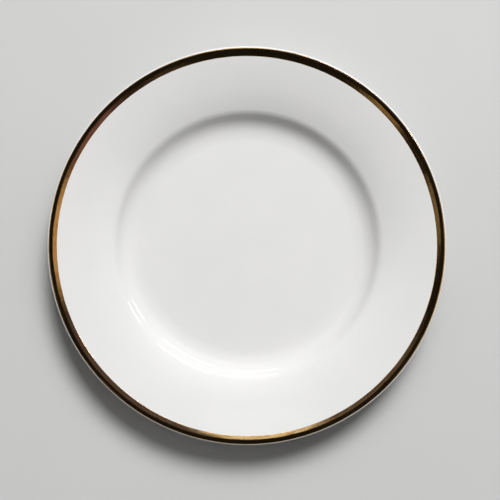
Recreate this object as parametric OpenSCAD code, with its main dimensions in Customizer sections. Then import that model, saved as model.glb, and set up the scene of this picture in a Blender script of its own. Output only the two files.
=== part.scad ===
// Rimmed china dinner plate: a fired porcelain body, the glaze fused over it, and a gold band
// lined round the rim. Millimetres, +Z up, the plate stands on its foot ring at z = 0 and its
// axis is Z. Every section is drawn in the half plane [radius, height] and turned about Z.

/* [Plate] */
// Diameter over the lip
plate_d = 267; // [255:1:285]
// Height of the eating surface above the table
floor_z = 6.8; // [6.4:0.1:8]
// Thickness of the floor and of the well's wall, glaze included
wall_t = 4.3; // [3.8:0.1:4.6]

/* [Well] */
// Radius of the flat floor
floor_r = 71.2; // [71:0.2:72]
// Radius of the gentle curve in which the floor begins to rise
ease_curve_r = 35; // [35:1:40]
// Slope at which that gentle curve tightens, in degrees
ease_slope = 12; // [12:1:14]
// Radius of the tight hollow curve at the foot of the wall
well_curve_r = 16; // [13:0.5:17]
// Steepest slope of the wall, in degrees
wall_slope = 49; // [45:1:51]
// Length of the straight stretch of wall
wall_run = 2.2; // [1.6:0.2:3]

/* [Rim] */
// Radius of the rounded shoulder where wall turns to rim
shoulder_curve_r = 10.5; // [9.5:0.5:13]
// Slope of the rim at the shoulder, in degrees
shoulder_slope = 22; // [20:1:24]
// Radius of the crowned inner half of the rim
inner_rim_curve_r = 130; // [120:5:150]
// Slope in the middle of the rim, in degrees
middle_slope = 15; // [14:1:16]
// Slope where the rim begins to roll over to the lip, in degrees
edge_slope = 11; // [9:1:12]
// Radius of that roll-over, which ends level
edge_curve_r = 14; // [10:1:16]
// Radius of the full-round lip
lip_r = 1.4; // [1.2:0.1:1.6]
// Radius of the crowned underside of the rim
rim_back_curve_r = 300; // [260:10:400]

/* [Foot ring] */
// Radius of the middle of the foot ring
foot_r = 75.5; // [74:0.5:75.5]
// Width of the foot between its sharp corners at the table
foot_base_w = 3.4; // [3:0.1:4]
// Draft of the foot's sides, in degrees from vertical
foot_draft = 15; // [10:1:20]
// Rounding of the two edges that meet the table
foot_edge_r = 0.7; // [0.5:0.1:0.8]
// Fillet between the foot's sides and the underside
foot_fillet_r = 1; // [0.8:0.1:1.1]

/* [Glaze] */
// Thickness of the fused glaze
glaze_t = 0.3; // [0.2:0.05:0.35]
// Height of the bare china left on the foot where the glaze is wiped off
bare_h = 1.1; // [0.9:0.1:1.2]

/* [Gold band] */
// Radius of the band's inner edge, about the band's own centre
band_inner_r = 127; // [124:0.1:129]
// Radius of the band's outer edge at the height of the lip's centre
band_outer_r = 131.25; // [130.8:0.05:132]
// How far the band was lined off the plate's axis
band_offset = 0.35; // [0:0.05:1.2]
// Direction of that offset, in degrees from +X
band_offset_az = 265; // [0:5:355]
// Thickness of the gold
gold_t = 0.2; // [0.15:0.05:0.3]

/* [Hidden] */
$fn = 96;

repeat_gap = 0.0005; // points closer than this are one point
band_cut_h = 8; // height of the tools that trim the gold, above and below the lip's centre
band_shell_margin = 3; // how far the untrimmed gold reaches inside the band's inner edge
china_white = [0.93, 0.93, 0.92];
bare_china = [0.86, 0.85, 0.82];
gold = [0.72, 0.50, 0.22];

// ---- points and arcs ----

// Unit vector at an angle
function unit(a) = [cos(a), sin(a)];

// Upward normal of a surface that climbs outward at a slope
function up_normal(slope) = unit(90 + slope);

// Angle of a vector
function angle_of(v) = atan2(v[1], v[0]);

// Points of an arc from angle a0 to angle a1
function arc(c, r, a0, a1, n) = [for (i = [0:n]) c + r * unit(a0 + (a1 - a0) * i / n)];

// An arc that climbs outward, crowned upward, between two slopes
function crown(c, r, slope0, slope1, n) = arc(c, r, 90 + slope0, 90 + slope1, n);

// The same points without repeats
function tidy(pts) = [
    for (i = [0:len(pts) - 1])
        if (i == 0 || norm(pts[i] - pts[max(i - 1, 0)]) > repeat_gap) pts[i]
];

function reversed(pts) = [for (i = [len(pts) - 1:-1:0]) pts[i]];

// Centre of a circle of radius rb about b's side that lies ra from a: b seen clockwise from a
function third_corner(a, b, ra, rb) =
    let (d = norm(b - a), turn = acos((d * d + ra * ra - rb * rb) / (2 * d * ra)))
    a + ra * unit(angle_of(b - a) - turn);

// First point of the line from p along unit vector u that lies r from c
function line_meets_circle(p, u, c, r) =
    let (w = p - c, along = w * u)
    p + u * (-along - sqrt(along * along - (w * w - r * r)));

// ---- centres of the section's arcs, all on the glazed surface ----

ease_c = [floor_r, floor_z + ease_curve_r];
ease_end = ease_c + ease_curve_r * unit(ease_slope - 90);
well_c = ease_end + well_curve_r * up_normal(ease_slope);
wall_foot = well_c + well_curve_r * unit(wall_slope - 90);
wall_top = wall_foot + wall_run * unit(wall_slope);
shoulder_c = wall_top - shoulder_curve_r * up_normal(wall_slope);
shoulder_end = shoulder_c + shoulder_curve_r * up_normal(shoulder_slope);
inner_rim_c = shoulder_end - inner_rim_curve_r * up_normal(shoulder_slope);
inner_rim_end = inner_rim_c + inner_rim_curve_r * up_normal(middle_slope);

// the outer half of the rim reaches exactly to the roll-over, which sets its radius
edge_start_r = plate_d / 2 - lip_r - edge_curve_r * sin(edge_slope);
outer_rim_curve_r = (edge_start_r - inner_rim_end[0]) / (sin(middle_slope) - sin(edge_slope));
outer_rim_c = inner_rim_end - outer_rim_curve_r * up_normal(middle_slope);
edge_c = outer_rim_c + (outer_rim_curve_r - edge_curve_r) * up_normal(edge_slope);
lip_c = edge_c + [0, edge_curve_r - lip_r];

// the rim's underside touches the back of the shoulder and the lip
back_shoulder_r = shoulder_curve_r - wall_t;
rim_back_c = third_corner(shoulder_c, lip_c, rim_back_curve_r - back_shoulder_r,
                          rim_back_curve_r + lip_r);
back_slope_at_shoulder = angle_of(shoulder_c - rim_back_c) - 90;
back_slope_at_lip = angle_of(lip_c - rim_back_c) - 90;

// the foot's sides stand either side of foot_r, and fillets lead them into the underside
roof_z = floor_z - wall_t;
back_ease_r = ease_curve_r + wall_t;
back_well_r = well_curve_r + wall_t;
outer_side_u = unit(90 - foot_draft);
outer_base = [foot_r + foot_base_w / 2, 0];
inner_base_r = foot_r - foot_base_w / 2;
outer_fillet_c = line_meets_circle(outer_base + foot_fillet_r * unit(-foot_draft), outer_side_u,
                                   ease_c, back_ease_r + foot_fillet_r);
inner_fillet_z = roof_z - foot_fillet_r;
inner_fillet_c = [inner_base_r - (foot_fillet_r + inner_fillet_z * sin(foot_draft))
                  / cos(foot_draft), inner_fillet_z];

// ---- outlines, at a depth under the glazed surface ----

// The face of the rim from the shoulder to the lip; what lies on the rim has a negative depth
function rim_line(depth) = concat(
    crown(inner_rim_c, inner_rim_curve_r - depth, shoulder_slope, middle_slope, 10),
    crown(outer_rim_c, outer_rim_curve_r - depth, middle_slope, edge_slope, 12),
    crown(edge_c, edge_curve_r - depth, edge_slope, 0, 5)
);

// The whole face from the axis to the lip
function face_line(depth) = concat(
    [[0, floor_z - depth]],
    arc(ease_c, ease_curve_r + depth, -90, ease_slope - 90, 6),
    arc(well_c, well_curve_r + depth, ease_slope - 90, wall_slope - 90, 10),
    crown(shoulder_c, shoulder_curve_r - depth, wall_slope, shoulder_slope, 10),
    rim_line(depth)
);

// The back from the lip to the top of the foot's outer side
function back_line(depth) = concat(
    arc(lip_c, lip_r - depth, 90, back_slope_at_lip - 90, 22),
    crown(rim_back_c, rim_back_curve_r + depth, back_slope_at_lip, back_slope_at_shoulder, 18),
    crown(shoulder_c, back_shoulder_r + depth, back_slope_at_shoulder, wall_slope, 8),
    arc(well_c, back_well_r - depth, wall_slope - 90, ease_slope - 90, 10),
    arc(ease_c, back_ease_r - depth, ease_slope - 90, angle_of(outer_fillet_c - ease_c), 3),
    arc(outer_fillet_c, foot_fillet_r + depth, angle_of(ease_c - outer_fillet_c),
        180 - foot_draft, 6)
);

// The recess inside the foot, from the top of the foot's inner side to the axis
function recess_line(depth) = concat(
    arc(inner_fillet_c, foot_fillet_r + depth, foot_draft, 90, 6),
    [[0, roof_z + depth]]
);

// Radius of a foot side at a height: side is 1 for the outer one and -1 for the inner
function foot_side_r(side, z, depth) =
    foot_r + side * (foot_base_w / 2 + z * tan(foot_draft) - depth / cos(foot_draft));

// Rounded edge of the foot on one side
function foot_edge(side, depth) =
    let (inset = foot_edge_r * (1 - sin(foot_draft)) / cos(foot_draft),
         c = [foot_side_r(side, 0, depth) - side * inset, foot_edge_r])
    side > 0 ? arc(c, foot_edge_r, -foot_draft, -90, 5)
             : arc(c, foot_edge_r, -90, foot_draft - 180, 5);

// Where the glaze stops on a foot side
function glaze_stop(side, depth) = [[foot_side_r(side, bare_h, depth), bare_h]];

// ---- sub-parts ----

// The fired china, with its bare foot
module porcelain_body()
    color(bare_china)
        rotate_extrude()
            polygon(tidy(concat(face_line(glaze_t), back_line(glaze_t), foot_edge(1, glaze_t),
                                foot_edge(-1, glaze_t), recess_line(glaze_t))));

// One coat of glaze over the face, round the lip and down the back to the foot
module glaze_coat()
    color(china_white)
        rotate_extrude()
            polygon(tidy(concat(face_line(0), back_line(0), glaze_stop(1, 0),
                                reversed(concat(face_line(glaze_t), back_line(glaze_t),
                                                glaze_stop(1, glaze_t))))));

// The separate pool of glaze inside the foot ring
module foot_recess_glaze()
    color(china_white)
        rotate_extrude()
            polygon(tidy(concat(glaze_stop(-1, 0), recess_line(0),
                                reversed(concat(glaze_stop(-1, glaze_t), recess_line(glaze_t))))));

// Section of the gold before it is trimmed: it follows the rim and turns over the lip
function gold_line(depth) = [
    for (p = concat(rim_line(depth), arc(lip_c, lip_r - depth, 90, 0, 11)))
        if (p[0] > band_inner_r - band_shell_margin) p
];

// The gold band, trimmed by tools that share the band's own centre
module gold_rim_band()
    color(gold)
        difference() {
            intersection() {
                rotate_extrude() polygon(tidy(concat(gold_line(0), reversed(gold_line(-gold_t)))));
                band_tool(band_outer_r - band_cut_h, band_outer_r + band_cut_h);
            }
            band_tool(band_inner_r, band_inner_r);
        }

// A round tool about the band's centre, tall enough to reach above and below the rim
module band_tool(bottom_r, top_r)
    translate(concat(band_offset * unit(band_offset_az), lip_c[1] - band_cut_h))
        cylinder(h = 2 * band_cut_h, r1 = bottom_r, r2 = top_r);

porcelain_body();
glaze_coat();
foot_recess_glaze();
gold_rim_band();
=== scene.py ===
"""Looks of the rimmed china dinner plate: turned china, its glaze and a hand-lined gold band.

The section repeats the design's driving dimensions in millimetres and is turned about Z. What is
placed in the scene is in metres. Slopes, azimuths and elevations are in degrees, and turns round
the plate are in radians.
"""

import math

import bpy
import numpy as np
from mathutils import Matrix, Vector


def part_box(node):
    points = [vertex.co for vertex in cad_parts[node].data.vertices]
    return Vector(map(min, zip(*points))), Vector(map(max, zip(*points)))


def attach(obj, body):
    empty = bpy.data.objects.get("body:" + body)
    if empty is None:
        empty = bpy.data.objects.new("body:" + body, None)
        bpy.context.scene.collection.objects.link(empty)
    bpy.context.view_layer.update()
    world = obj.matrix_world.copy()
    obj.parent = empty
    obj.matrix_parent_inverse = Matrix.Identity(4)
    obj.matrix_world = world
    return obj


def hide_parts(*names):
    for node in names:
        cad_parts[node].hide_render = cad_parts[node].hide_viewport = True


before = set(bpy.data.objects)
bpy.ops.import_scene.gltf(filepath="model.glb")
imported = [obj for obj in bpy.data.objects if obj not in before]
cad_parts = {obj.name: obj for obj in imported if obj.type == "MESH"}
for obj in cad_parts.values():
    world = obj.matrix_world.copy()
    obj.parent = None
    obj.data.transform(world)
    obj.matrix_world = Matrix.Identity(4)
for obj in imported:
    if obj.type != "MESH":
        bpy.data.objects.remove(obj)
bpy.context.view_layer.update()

MM = 0.001
BODY = "root"

# ---- driving dimensions of the section, in millimetres and degrees ----

PLATE_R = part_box("glaze_coat")[1].x / MM  # the CAD glaze reaches the full radius of the lip
FLOOR_Z = 6.8
WALL_T = 4.3
FLOOR_R = 71.2
EASE_CURVE_R = 35.0
EASE_SLOPE = 12.0
WELL_CURVE_R = 16.0
WALL_SLOPE = 49.0
WALL_RUN = 2.2
SHOULDER_CURVE_R = 10.5
SHOULDER_SLOPE = 22.0
INNER_RIM_CURVE_R = 130.0
MIDDLE_SLOPE = 15.0
EDGE_SLOPE = 11.0
EDGE_CURVE_R = 14.0
LIP_R = 1.4
RIM_BACK_CURVE_R = 300.0
FOOT_R = 75.5
FOOT_BASE_W = 3.4
FOOT_DRAFT = 15.0
FOOT_EDGE_R = 0.7
FOOT_FILLET_R = 1.0
GLAZE_T = 0.3
BARE_H = 1.1

# the band, about its own centre
BAND_INNER_R = 127.0
BAND_OUTER_R = 131.25
BAND_OFFSET = 0.35
BAND_OFFSET_AZ = 265.0
GOLD_PROUD = 0.015  # how far the gold stands above the glaze
GOLD_SUNK = 0.03  # how far its hidden face lies in the glaze
GOLD_EDGE = 0.10  # width over which the gold thins to nothing at each edge

# what firing and hand work leave, as looks only: the CAD solids are true
SETTLE_DEPTH = 0.16  # how far the lip sags at most
BRUSH_STRAYS = [  # waves round the plate, and how far each moves the band's edge
    (3, 0.030), (7, 0.020), (17, 0.016), (41, 0.012), (97, 0.008),
]

# ---- how finely the section is turned ----

CHINA_SEGMENTS = 256
GLAZE_SEGMENTS = 288
GOLD_SEGMENTS = 640
GOLD_STEPS = 22  # across the band
SAME_POINT = 1e-4  # outline points closer than this are one point
ON_AXIS = 1e-6  # a point nearer the axis than this lies on it

# ---- the light and the camera ----

# the two keys shine from one direction, one from far off and one from near by, so that the light
# falls off a little across the plate
KEY_AZIMUTH = 72.0
KEY_ELEVATION = 50.0
KEY_ANGLE = 22.0
KEY_IRRADIANCE = 2.32
NEAR_KEY_RADIANCE = 6.1
NEAR_KEY_SIZE = (34, 20)
NEAR_KEY_DISTANCE = 1.15
SKY_RADIANCE = 0.50
FILL_RADIANCE = 0.64
DARK_RADIANCE = 0.009

# windows low on the key's side, mirrored as highlight lines on the well's wall:
# name, azimuth, elevation, width, height and radiance
PANES = [
    ("pane_left", 91, 9.5, 24, 4, 11.0),
    ("pane_middle", 62, 19.5, 24, 4, 11.0),
    ("pane_right", 32, 9, 10, 5, 1.7 * 11.0),
]

# a warm glow on all four sides, which the gold mirrors when it is seen from the side
GLOW_AZIMUTHS = (0, 90, 180, 270)
GLOW_ELEVATION = 15
GLOW_SIZE = (84, 26)
GLOW_RADIANCE = 0.30
GLOW_COLOUR = (1.0, 0.94, 0.87)
GLOW_DISTANCE = 2.6

# soft patches of the room's ceiling, mirrored by the band when it is seen from above:
# centre and radii in x and y of the sky's direction, softness of the edge, and colour
CEILING_CARDS = [
    ((-0.022, 0.290), (0.085, 0.085), 0.10, (0.78, 0.74, 0.68)),
    ((0.245, 0.010), (0.095, 0.070), 0.25, (0.45, 0.32, 0.21)),
    ((-0.245, -0.015), (0.090, 0.038), 0.25, (0.16, 0.13, 0.10)),
    ((0.14, 0.18), (0.13, 0.09), 0.3, (0.080, 0.062, 0.095)),
    ((-0.14, 0.20), (0.11, 0.08), 0.4, (0.090, 0.072, 0.090)),
    ((0.19, -0.11), (0.055, 0.045), 0.5, (0.15, 0.080, 0.110)),
    ((0.11, -0.205), (0.035, 0.035), 0.4, (0.090, 0.070, 0.070)),
    ((-0.155, -0.132), (0.024, 0.032), 0.3, (0.27, 0.20, 0.12)),
]

FLOOR_HALF = 6.0  # half the floor's width

CAMERA_DISTANCE = 0.75
CAMERA_ELEVATION = 89.0
CAMERA_LENS = 80.66
CAMERA_AIM = Vector((0.0020, -0.0033, 0.0255))


# ---- the section ----


def unit(angle):
    """Unit vector at an angle in degrees."""
    return np.array([math.cos(math.radians(angle)), math.sin(math.radians(angle))])


def up_normal(slope):
    """Upward normal of a surface that climbs outward at a slope."""
    return unit(90 + slope)


def angle_of(v):
    """Direction of a vector in degrees."""
    return math.degrees(math.atan2(v[1], v[0]))


def sin_d(angle):
    return math.sin(math.radians(angle))


def cos_d(angle):
    return math.cos(math.radians(angle))


def arc(centre, radius, start, end, n):
    """n + 1 points of an arc between two angles in degrees."""
    return [centre + radius * unit(start + (end - start) * i / n) for i in range(n + 1)]


def crown(centre, radius, slope0, slope1, n):
    """An arc that climbs outward, crowned upward, between two slopes."""
    return arc(centre, radius, 90 + slope0, 90 + slope1, n)


def line(start, end, n):
    """n + 1 points of a straight line."""
    start, end = np.array(start, float), np.array(end, float)
    return [start + (end - start) * i / n for i in range(n + 1)]


# the face's chain of tangent arcs: names ending in _C are centres, as (radius, height)
EASE_C = np.array([FLOOR_R, FLOOR_Z + EASE_CURVE_R])
EASE_END = EASE_C + EASE_CURVE_R * unit(EASE_SLOPE - 90)
WELL_C = EASE_END + WELL_CURVE_R * up_normal(EASE_SLOPE)
WALL_FOOT = WELL_C + WELL_CURVE_R * unit(WALL_SLOPE - 90)
WALL_TOP = WALL_FOOT + WALL_RUN * unit(WALL_SLOPE)
SHOULDER_C = WALL_TOP - SHOULDER_CURVE_R * up_normal(WALL_SLOPE)
SHOULDER_END = SHOULDER_C + SHOULDER_CURVE_R * up_normal(SHOULDER_SLOPE)
INNER_RIM_C = SHOULDER_END - INNER_RIM_CURVE_R * up_normal(SHOULDER_SLOPE)
INNER_RIM_END = INNER_RIM_C + INNER_RIM_CURVE_R * up_normal(MIDDLE_SLOPE)
EDGE_START_R = PLATE_R - LIP_R - EDGE_CURVE_R * sin_d(EDGE_SLOPE)
OUTER_RIM_CURVE_R = (EDGE_START_R - INNER_RIM_END[0]) / (sin_d(MIDDLE_SLOPE) - sin_d(EDGE_SLOPE))
OUTER_RIM_C = INNER_RIM_END - OUTER_RIM_CURVE_R * up_normal(MIDDLE_SLOPE)
EDGE_C = OUTER_RIM_C + (OUTER_RIM_CURVE_R - EDGE_CURVE_R) * up_normal(EDGE_SLOPE)
LIP_C = EDGE_C + np.array([0, EDGE_CURVE_R - LIP_R])


def third_corner(a, b, ra, rb):
    """The point ra from a and rb from b, clockwise of the line from a to b."""
    d = np.linalg.norm(b - a)
    turn = math.degrees(math.acos((d * d + ra * ra - rb * rb) / (2 * d * ra)))
    return a + ra * unit(angle_of(b - a) - turn)


def line_meets_circle(p, u, c, r):
    """First point of the line from p along unit vector u that lies r from c."""
    w = p - c
    along = w @ u
    return p + u * (-along - math.sqrt(along * along - (w @ w - r * r)))


# the back: the same centres with radii a wall's thickness away, one long arc under the rim, and
# the fillets of the foot
BACK_SHOULDER_R = SHOULDER_CURVE_R - WALL_T
RIM_BACK_C = third_corner(
    SHOULDER_C, LIP_C, RIM_BACK_CURVE_R - BACK_SHOULDER_R, RIM_BACK_CURVE_R + LIP_R
)
BACK_SLOPE_AT_SHOULDER = angle_of(SHOULDER_C - RIM_BACK_C) - 90
BACK_SLOPE_AT_LIP = angle_of(LIP_C - RIM_BACK_C) - 90
ROOF_Z = FLOOR_Z - WALL_T
BACK_EASE_R = EASE_CURVE_R + WALL_T
BACK_WELL_R = WELL_CURVE_R + WALL_T
OUTER_FILLET_C = line_meets_circle(
    np.array([FOOT_R + FOOT_BASE_W / 2, 0]) + FOOT_FILLET_R * unit(-FOOT_DRAFT),
    unit(90 - FOOT_DRAFT),
    EASE_C,
    BACK_EASE_R + FOOT_FILLET_R,
)
INNER_FILLET_Z = ROOF_Z - FOOT_FILLET_R
INNER_FILLET_C = np.array([
    FOOT_R - FOOT_BASE_W / 2
    - (FOOT_FILLET_R + INNER_FILLET_Z * sin_d(FOOT_DRAFT)) / cos_d(FOOT_DRAFT),
    INNER_FILLET_Z,
])


# each line runs at a depth under the glaze's outer skin, so one chain serves glaze and china


def floor_line(depth):
    """From the axis out to the edge of the flat floor."""
    return line((0, FLOOR_Z - depth), (FLOOR_R, FLOOR_Z - depth), 6)


def wall_line(depth):
    """From the edge of the floor up the well's wall to the end of the shoulder."""
    return (
        arc(EASE_C, EASE_CURVE_R + depth, -90, EASE_SLOPE - 90, 12)
        + arc(WELL_C, WELL_CURVE_R + depth, EASE_SLOPE - 90, WALL_SLOPE - 90, 22)
        + crown(SHOULDER_C, SHOULDER_CURVE_R - depth, WALL_SLOPE, SHOULDER_SLOPE, 14)
    )


def rim_line(depth):
    """From the end of the shoulder over the crowned rim to the lip's top."""
    return (
        crown(INNER_RIM_C, INNER_RIM_CURVE_R - depth, SHOULDER_SLOPE, MIDDLE_SLOPE, 8)
        + crown(OUTER_RIM_C, OUTER_RIM_CURVE_R - depth, MIDDLE_SLOPE, EDGE_SLOPE, 12)
        + crown(EDGE_C, EDGE_CURVE_R - depth, EDGE_SLOPE, 0, 8)
    )


def face_line(depth):
    """From the axis over the whole face to the lip's top."""
    return floor_line(depth) + wall_line(depth) + rim_line(depth)


def back_line(depth):
    """From the lip's top round the lip and down the back to the top of the foot's side."""
    return (
        arc(LIP_C, LIP_R - depth, 90, BACK_SLOPE_AT_LIP - 90, 20)
        + crown(RIM_BACK_C, RIM_BACK_CURVE_R + depth, BACK_SLOPE_AT_LIP,
                BACK_SLOPE_AT_SHOULDER, 12)
        + crown(SHOULDER_C, BACK_SHOULDER_R + depth, BACK_SLOPE_AT_SHOULDER, WALL_SLOPE, 12)
        + arc(WELL_C, BACK_WELL_R - depth, WALL_SLOPE - 90, EASE_SLOPE - 90, 16)
        + arc(EASE_C, BACK_EASE_R - depth, EASE_SLOPE - 90,
              angle_of(OUTER_FILLET_C - EASE_C), 4)
        + arc(OUTER_FILLET_C, FOOT_FILLET_R + depth, angle_of(EASE_C - OUTER_FILLET_C),
              180 - FOOT_DRAFT, 8)
    )


def recess_line(depth):
    """From the top of the foot's inner side across the recess to the axis."""
    fillet = arc(INNER_FILLET_C, FOOT_FILLET_R + depth, FOOT_DRAFT, 90, 8)
    return fillet + line(fillet[-1], (0, ROOF_Z + depth), 6)


def foot_side_r(side, z, depth):
    """Radius of a foot side at a height: side is 1 for the outer one and -1 for the inner."""
    draft = math.tan(math.radians(FOOT_DRAFT))
    return FOOT_R + side * (FOOT_BASE_W / 2 + z * draft - depth / cos_d(FOOT_DRAFT))


def foot_edge(side, depth):
    """The rounded edge of the foot on one side."""
    inset = FOOT_EDGE_R * (1 - sin_d(FOOT_DRAFT)) / cos_d(FOOT_DRAFT)
    centre = np.array([foot_side_r(side, 0, depth) - side * inset, FOOT_EDGE_R])
    if side > 0:
        return arc(centre, FOOT_EDGE_R, -FOOT_DRAFT, -90, 8)
    return arc(centre, FOOT_EDGE_R, -90, FOOT_DRAFT - 180, 8)


def glaze_end(side):
    """The rounded end of the glaze on a foot side, from its outer skin to the china."""
    skin = np.array([foot_side_r(side, BARE_H, 0), BARE_H])
    china = np.array([foot_side_r(side, BARE_H, GLAZE_T), BARE_H])
    middle, half = (skin + china) / 2, abs(skin[0] - china[0]) / 2
    sweep = (0, -180) if side > 0 else (180, 360)
    return arc(middle, half, *sweep, 8)


def without_repeats(points):
    """The outline's points, less any that repeat the one before."""
    kept = [points[0]]
    for p in points[1:]:
        if np.linalg.norm(p - kept[-1]) > SAME_POINT:
            kept.append(p)
    return np.array(kept)


# ---- what firing and hand work leave ----


def settle(radius, turn):
    """How far the china sags below true, in mm: firing leaves the rim in low waves, two and three
    to the round, and the foot true."""
    out = np.clip((radius - FOOT_R) / (PLATE_R - FOOT_R), 0, 1) ** 2
    waves = 0.5 + 0.3 * np.sin(2 * turn + 0.6) + 0.2 * np.sin(3 * turn + 2.1)
    return SETTLE_DEPTH * out * waves


def place(radius, turn, z):
    """Points in metres of a section turned about Z, settled where they lie above the foot."""
    z = z - settle(radius, turn) * np.clip((z - ROOF_Z) / ROOF_Z, 0, 1)
    return np.stack([radius * np.cos(turn), radius * np.sin(turn), z], axis=-1) * MM


# ---- meshes ----


def mesh_piece(name, points, faces, node, slot, material):
    """A smooth mesh that stands for a CAD node."""
    mesh = bpy.data.meshes.new(name)
    mesh.from_pydata([tuple(p) for p in points], [], faces)
    mesh.validate()
    mesh.polygons.foreach_set("use_smooth", [True] * len(mesh.polygons))
    mesh.materials.append(material)
    mesh.update()
    piece = bpy.data.objects.new(name, mesh)
    bpy.context.scene.collection.objects.link(piece)
    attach(piece, BODY)
    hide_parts(node)


def turned(outline, segments):
    """Points and faces of a closed outline turned about Z. Its first and last points may lie on
    the axis. The outline runs clockwise: out along the top and back underneath."""
    turns = np.arange(segments) * 2 * math.pi / segments
    points, rings = [], []
    for r, z in outline:
        if r < ON_AXIS:
            rings.append([len(points)] * segments)
            points.append(place(np.array(0.0), np.array(0.0), np.array(z)))
        else:
            rings.append(list(range(len(points), len(points) + segments)))
            points.extend(place(np.full(segments, r), turns, np.full(segments, z)))
    faces = []
    for a, b in zip(rings, rings[1:] + rings[:1]):
        for i in range(segments):
            j = (i + 1) % segments
            corners = []
            for v in (a[i], b[i], b[j], a[j]):
                if v not in corners:
                    corners.append(v)
            if len(corners) > 2:
                faces.append(corners)
    return points, faces


def make_body(material):
    outline = without_repeats(
        face_line(GLAZE_T) + back_line(GLAZE_T) + foot_edge(1, GLAZE_T)
        + foot_edge(-1, GLAZE_T) + recess_line(GLAZE_T)
    )
    mesh_piece("china_body", *turned(outline, CHINA_SEGMENTS), "porcelain_body", "bare_china",
               material)


def make_glaze(material):
    inner = face_line(GLAZE_T) + back_line(GLAZE_T)
    outline = without_repeats(
        face_line(0) + back_line(0) + glaze_end(1) + list(reversed(inner))
    )
    mesh_piece("glaze_skin", *turned(outline, GLAZE_SEGMENTS), "glaze_coat", "white_glaze",
               material)


def make_foot_glaze(material):
    outline = without_repeats(
        list(reversed(recess_line(GLAZE_T))) + list(reversed(glaze_end(-1)))
        + recess_line(0)
    )
    mesh_piece("foot_glaze", *turned(outline, CHINA_SEGMENTS), "foot_recess_glaze", "white_glaze",
               material)


def hand_wobble(turn, seed):
    """How far a hand-held brush strays from the circle, in mm."""
    return sum(size * np.sin(n * turn + seed * (n + 1)) for n, size in BRUSH_STRAYS)


def make_gold(material):
    """The band: a thin closed ring that follows the rim and turns over the lip."""
    # the glaze's skin from mid-rim to the lip's side, fine enough to measure along
    path = without_repeats(
        crown(OUTER_RIM_C, OUTER_RIM_CURVE_R, MIDDLE_SLOPE, EDGE_SLOPE, 400)
        + crown(EDGE_C, EDGE_CURVE_R, EDGE_SLOPE, 0, 80)
        + arc(LIP_C, LIP_R, 90, 0, 200)
    )
    steps = np.linalg.norm(np.diff(path, axis=0), axis=1)
    along = np.concatenate([[0], np.cumsum(steps)])
    tangent = np.gradient(path, along, axis=0)
    normal = np.stack([-tangent[:, 1], tangent[:, 0]], axis=1)
    normal /= np.linalg.norm(normal, axis=1)[:, None]
    # radius at which an upward-widening cone about the band's centre would cut each point
    cone_r = path[:, 0] - (path[:, 1] - LIP_C[1])

    turns = np.arange(GOLD_SEGMENTS) * 2 * math.pi / GOLD_SEGMENTS
    shift = BAND_OFFSET * np.cos(turns - math.radians(BAND_OFFSET_AZ))
    start = np.interp(BAND_INNER_R + shift + hand_wobble(turns, 1.0), path[:, 0], along)
    end = np.interp(BAND_OUTER_R + shift + hand_wobble(turns, 2.3), cone_r, along)

    share = np.linspace(0, 1, GOLD_STEPS + 1)
    s = start[:, None] + (end - start)[:, None] * share[None, :]
    edge = np.minimum(s - start[:, None], end[:, None] - s)
    proud = GOLD_PROUD * np.sqrt(np.clip(1 - (1 - np.clip(edge / GOLD_EDGE, 0, 1)) ** 2, 0, 1))

    def skin(height):
        """The band's rows of points at a height above the glaze."""
        at = np.stack([np.interp(s, along, path[:, k]) for k in (0, 1)], axis=-1)
        out = np.stack([np.interp(s, along, normal[:, k]) for k in (0, 1)], axis=-1)
        rz = at + out * height[..., None]
        return place(rz[..., 0], np.broadcast_to(turns[:, None], s.shape), rz[..., 1])

    top, under = skin(proud), skin(np.full(s.shape, -GOLD_SUNK))
    ring = np.concatenate([top, under[:, ::-1]], axis=1)
    row = ring.shape[1]
    faces = []
    for i in range(GOLD_SEGMENTS):
        j = (i + 1) % GOLD_SEGMENTS
        for k in range(row):
            m = (k + 1) % row
            faces.append((i * row + k, i * row + m, j * row + m, j * row + k))
    mesh_piece("gold_band", ring.reshape(-1, 3), faces, "gold_rim_band", "gold", material)


# ---- materials ----


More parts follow.
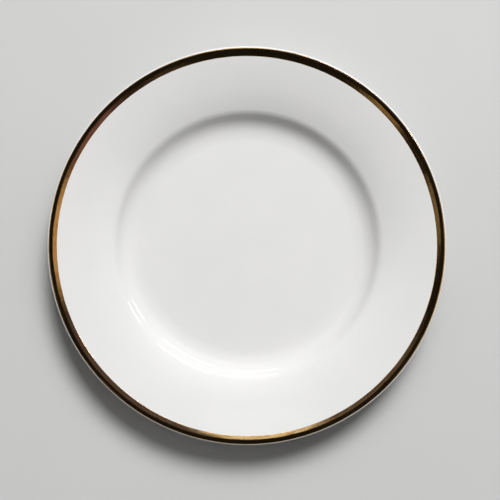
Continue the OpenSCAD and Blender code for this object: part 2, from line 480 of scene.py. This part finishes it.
class Nodes:
    """A short way to build the nodes of a material, or of the world."""

    def __init__(self, name, world=False):
        self.material = (bpy.data.worlds if world else bpy.data.materials).new(name)
        self.material.use_nodes = True
        self.tree = self.material.node_tree
        self.tree.nodes.clear()
        self.output = self.add("ShaderNodeOutputWorld" if world else "ShaderNodeOutputMaterial")
        # over a world, generated coordinates are the direction in the sky
        self.coords = self.add("ShaderNodeTexCoord").outputs["Generated" if world else "Object"]

    def add(self, kind, **values):
        node = self.tree.nodes.new(kind)
        for key, value in values.items():
            setattr(node, key, value)
        return node

    def link(self, a, b):
        self.tree.links.new(a, b)

    def put(self, socket, value):
        """Sets a socket to a number or colour, or links it to another socket."""
        if isinstance(value, bpy.types.NodeSocket):
            self.tree.links.new(value, socket)
        else:
            socket.default_value = value

    def noise(self, scale, detail=2.0, roughness=0.5, vector=None):
        node = self.add("ShaderNodeTexNoise")
        self.put(node.inputs["Vector"], vector or self.coords)
        node.inputs["Scale"].default_value = scale
        node.inputs["Detail"].default_value = detail
        node.inputs["Roughness"].default_value = roughness
        return node.outputs["Fac"]

    def span(self, value, low, high, to_low, to_high, smooth=False):
        """Maps a value from one range to another, clamped."""
        node = self.add("ShaderNodeMapRange")
        if smooth:
            node.interpolation_type = "SMOOTHSTEP"
        self.put(node.inputs["Value"], value)
        for key, number in (("From Min", low), ("From Max", high), ("To Min", to_low),
                            ("To Max", to_high)):
            node.inputs[key].default_value = number
        return node.outputs["Result"]

    def math(self, operation, a, b=0.0):
        """One arithmetic step on numbers or sockets."""
        node = self.add("ShaderNodeMath", operation=operation)
        self.put(node.inputs[0], a)
        self.put(node.inputs[1], b)
        return node.outputs[0]

    def flat_distance(self, x, y):
        """Distance from the origin in the plane of x and y."""
        return self.math("SQRT", self.math("ADD", self.math("MULTIPLY", x, x),
                                           self.math("MULTIPLY", y, y)))

    def parts(self):
        """The x, y and z of the coordinates."""
        split = self.add("ShaderNodeSeparateXYZ")
        self.link(self.coords, split.inputs[0])
        return split.outputs

    def joined(self, *values):
        """A vector of sockets, each times a number, such as (socket, number)."""
        join = self.add("ShaderNodeCombineXYZ")
        for socket, (value, times) in zip(join.inputs, values):
            self.link(self.math("MULTIPLY", value, times), socket)
        return join.outputs[0]

    def mix(self, factor, a, b, blend="MIX"):
        """Mixes two colours."""
        node = self.add("ShaderNodeMix", data_type="RGBA", blend_type=blend)
        self.put(node.inputs[0], factor)
        self.put(node.inputs[6], a)
        self.put(node.inputs[7], b)
        return node.outputs[2]

    def bump(self, height, strength, distance, normal=None):
        node = self.add("ShaderNodeBump")
        node.inputs["Strength"].default_value = strength
        node.inputs["Distance"].default_value = distance
        self.put(node.inputs["Height"], height)
        if normal is not None:
            self.put(node.inputs["Normal"], normal)
        return node.outputs["Normal"]

    def surface(self, **values):
        """Ends the material in a Principled shader with these inputs."""
        shader = self.add("ShaderNodeBsdfPrincipled")
        for key, value in values.items():
            self.put(shader.inputs[key.replace("_", " ")], value)
        self.link(shader.outputs[0], self.output.inputs["Surface"])
        return self.material


def glaze_material():
    """Clear glossy glaze over white china: nearly even in tone, with slow low waves and a faint
    orange peel."""
    n = Nodes("white_glaze")
    cloud = n.span(n.noise(38, 3), 0.3, 0.7, 0, 1)
    white = n.mix(cloud, (0.715, 0.715, 0.703, 1), (0.733, 0.729, 0.722, 1))
    rough = n.span(n.noise(210, 3), 0.3, 0.7, 0.05, 0.085)
    soft_wave = n.bump(n.noise(95, 1), 0.10, 0.00025)
    peel = n.bump(n.noise(900, 2), 0.06, 0.00003, soft_wave)
    return n.surface(Base_Color=white, Roughness=rough, IOR=1.52, Normal=peel)


def china_material():
    """Bare fired china of the foot: matt, fine-grained, greyed where it has stood and slid."""
    n = Nodes("bare_china")
    grain = n.noise(2600, 4, 0.65)
    stain = n.span(n.noise(240, 3), 0.45, 0.75, 0, 1, smooth=True)
    clean = n.mix(grain, (0.66, 0.63, 0.57, 1), (0.78, 0.75, 0.69, 1))
    tone = n.mix(stain, clean, (0.50, 0.47, 0.42, 1))
    return n.surface(
        Base_Color=tone,
        Roughness=n.span(grain, 0.3, 0.7, 0.62, 0.85),
        IOR=1.5,
        Normal=n.bump(grain, 0.5, 0.0001),
    )


def gold_material():
    """Burnished liquid gold, with fine brush lines and thin brown streaks round the plate and a
    slight orange peel."""
    n = Nodes("rim_gold")
    x, y, z = n.parts()
    radius = n.flat_distance(x, y)
    turn = n.math("ARCTAN2", y, x)
    brush = n.noise(1.0, 3, 0.55, n.joined((radius, 900.0), (turn, 7.0), (z, 300.0)))
    cloud = n.span(n.noise(120, 3), 0.35, 0.65, 0, 1)
    tone = n.mix(cloud, (0.86, 0.58, 0.24, 1), (0.93, 0.67, 0.31, 1))
    streak = n.noise(1.0, 4, 0.6, n.joined((radius, 1500.0), (turn, 16.0)))
    thin = n.span(streak, 0.52, 0.66, 0, 0.75, smooth=True)
    tone = n.mix(thin, tone, (0.42, 0.23, 0.13, 1))
    rough = n.span(brush, 0.3, 0.7, 0.05, 0.11)
    lines = n.bump(brush, 0.35, 0.00004)
    peel = n.bump(n.noise(130, 2), 0.12, 0.0002, lines)
    return n.surface(Base_Color=tone, Metallic=1.0, Roughness=rough, Normal=peel)


def floor_material():
    """Pale matt floor, very slightly uneven."""
    n = Nodes("pale_floor")
    tone = n.mix(n.noise(6, 4), (0.56, 0.56, 0.555, 1), (0.60, 0.60, 0.595, 1))
    return n.surface(Base_Color=tone, Roughness=n.span(n.noise(30, 2), 0.3, 0.7, 0.55, 0.7))


# ---- stage, light and camera ----


def make_floor():
    mesh = bpy.data.meshes.new("floor")
    corners = [(-1, -1), (1, -1), (1, 1), (-1, 1)]
    mesh.from_pydata([(x * FLOOR_HALF, y * FLOOR_HALF, 0) for x, y in corners], [], [(0, 1, 2, 3)])
    mesh.materials.append(floor_material())
    floor = bpy.data.objects.new("floor", mesh)
    bpy.context.scene.collection.objects.link(floor)


def direction(azimuth, elevation):
    """Unit vector towards a place round the plate: azimuth 0 is +X and 90 is +Y."""
    flat = cos_d(elevation)
    return Vector((flat * cos_d(azimuth), flat * sin_d(azimuth), sin_d(elevation)))


def softbox(name, azimuth, elevation, width, height, radiance, colour=(1, 1, 1), distance=2.0):
    """A rectangular light that faces the plate and that the camera doesn't see. width and height
    are in degrees as seen from the plate, and radiance is what a mirror would show."""
    size_x = 2 * distance * math.tan(math.radians(width / 2))
    size_y = 2 * distance * math.tan(math.radians(height / 2))
    data = bpy.data.lights.new(name, "AREA")
    data.shape = "RECTANGLE"
    data.size, data.size_y = size_x, size_y
    data.energy = radiance * math.pi * size_x * size_y
    data.color = colour
    light = bpy.data.objects.new(name, data)
    towards = direction(azimuth, elevation)
    light.location = towards * distance
    light.rotation_mode = "QUATERNION"
    light.rotation_quaternion = (-towards).to_track_quat("-Z", "Y")
    light.visible_camera = False
    bpy.context.scene.collection.objects.link(light)
    return light


def ceiling_card(n, x, y, centre, radii, soft, colour):
    """A soft-edged oval patch of the sky, placed by the x and y of its direction."""
    dx = n.math("DIVIDE", n.math("SUBTRACT", x, centre[0]), radii[0])
    dy = n.math("DIVIDE", n.math("SUBTRACT", y, centre[1]), radii[1])
    shape = n.span(n.flat_distance(dx, dy), 1 + soft, 1 - soft, 0, 1, smooth=True)
    return n.mix(shape, (0, 0, 0, 1), (*colour, 1))


def make_sky():
    """A soft glow round the key, a dim fill from the key's two sides, and near darkness elsewhere
    and overhead, where a few ceiling cards are what the gold mirrors."""
    n = Nodes("studio", world=True)
    x, y, z = n.parts()
    # 0 straight up and 1 at the horizon
    level = n.math("MAXIMUM", n.flat_distance(x, y), 0.001)
    # 1 towards the key, 0 to its sides and -1 behind
    key_x, key_y = cos_d(KEY_AZIMUTH), sin_d(KEY_AZIMUTH)
    along = n.math("ADD", n.math("MULTIPLY", x, key_x), n.math("MULTIPLY", y, key_y))
    facing = n.math("DIVIDE", along, level)

    # the glow round the key, from 27 to 70 degrees up
    key = n.math(
        "MULTIPLY",
        n.span(facing, 0.1, 0.92, 0, 1, smooth=True),
        n.math("MULTIPLY", n.span(z, 0.45, 0.68, 0, 1, smooth=True),
               n.span(z, 0.94, 0.72, 0, 1, smooth=True)),
    )
    # the fill, weaker near the horizon and gone within 15 degrees of straight up
    fill = n.math(
        "MULTIPLY",
        n.math("MULTIPLY", n.span(facing, -0.45, 0.0, 0.0, 1.0, smooth=True),
               n.span(facing, 0.15, 0.75, 1.0, 0.1, smooth=True)),
        n.math("MULTIPLY", n.span(level, 0.26, 0.50, 0.0, 1.0, smooth=True),
               n.span(z, 0.05, 0.5, 0.35, 1.0, smooth=True)),
    )
    sky = n.math("ADD", n.math("MULTIPLY", key, SKY_RADIANCE),
                 n.math("MULTIPLY", fill, FILL_RADIANCE))
    sky = n.math("ADD", sky, DARK_RADIANCE)
    white = n.add("ShaderNodeCombineXYZ")
    for socket in white.inputs:
        n.link(sky, socket)
    total = white.outputs[0]
    for card in CEILING_CARDS:
        total = n.mix(1.0, total, ceiling_card(n, x, y, *card), blend="ADD")
    back = n.add("ShaderNodeBackground")
    n.put(back.inputs["Color"], total)
    n.link(back.outputs[0], n.output.inputs["Surface"])
    bpy.context.scene.world = n.material


def make_light():
    make_sky()
    data = bpy.data.lights.new("far_key", "SUN")
    data.angle = math.radians(KEY_ANGLE)
    data.energy = KEY_IRRADIANCE
    far_key = bpy.data.objects.new("far_key", data)
    far_key.rotation_mode = "QUATERNION"
    back = direction(KEY_AZIMUTH, KEY_ELEVATION)
    far_key.rotation_quaternion = (-back).to_track_quat("-Z", "Y")
    bpy.context.scene.collection.objects.link(far_key)
    near_key = softbox("near_key", KEY_AZIMUTH, KEY_ELEVATION, *NEAR_KEY_SIZE, NEAR_KEY_RADIANCE,
                       distance=NEAR_KEY_DISTANCE)
    # the keys only shade the plate, and the panes and glows only show in its gloss
    far_key.visible_glossy = near_key.visible_glossy = False
    for pane in PANES:
        softbox(*pane).visible_diffuse = False
    for azimuth in GLOW_AZIMUTHS:
        glow = softbox("glow_%d" % azimuth, azimuth, GLOW_ELEVATION, *GLOW_SIZE, GLOW_RADIANCE,
                       GLOW_COLOUR, distance=GLOW_DISTANCE)
        glow.visible_diffuse = False


def make_camera():
    """Almost straight above the plate, leaning a little towards -Y, as in the photograph."""
    data = bpy.data.cameras.new("camera")
    data.lens = CAMERA_LENS
    data.clip_start, data.clip_end = 0.01, 50
    camera = bpy.data.objects.new("camera", data)
    back = direction(-90, CAMERA_ELEVATION)
    camera.location = CAMERA_AIM + back * CAMERA_DISTANCE
    camera.rotation_mode = "QUATERNION"
    camera.rotation_quaternion = (-back).to_track_quat("-Z", "Y")
    bpy.context.scene.collection.objects.link(camera)
    bpy.context.scene.camera = camera


bpy.context.scene.view_settings.view_transform = "Standard"
make_camera()
make_floor()
make_light()
glaze = glaze_material()
make_body(china_material())
make_glaze(glaze)
make_foot_glaze(glaze)
make_gold(gold_material())
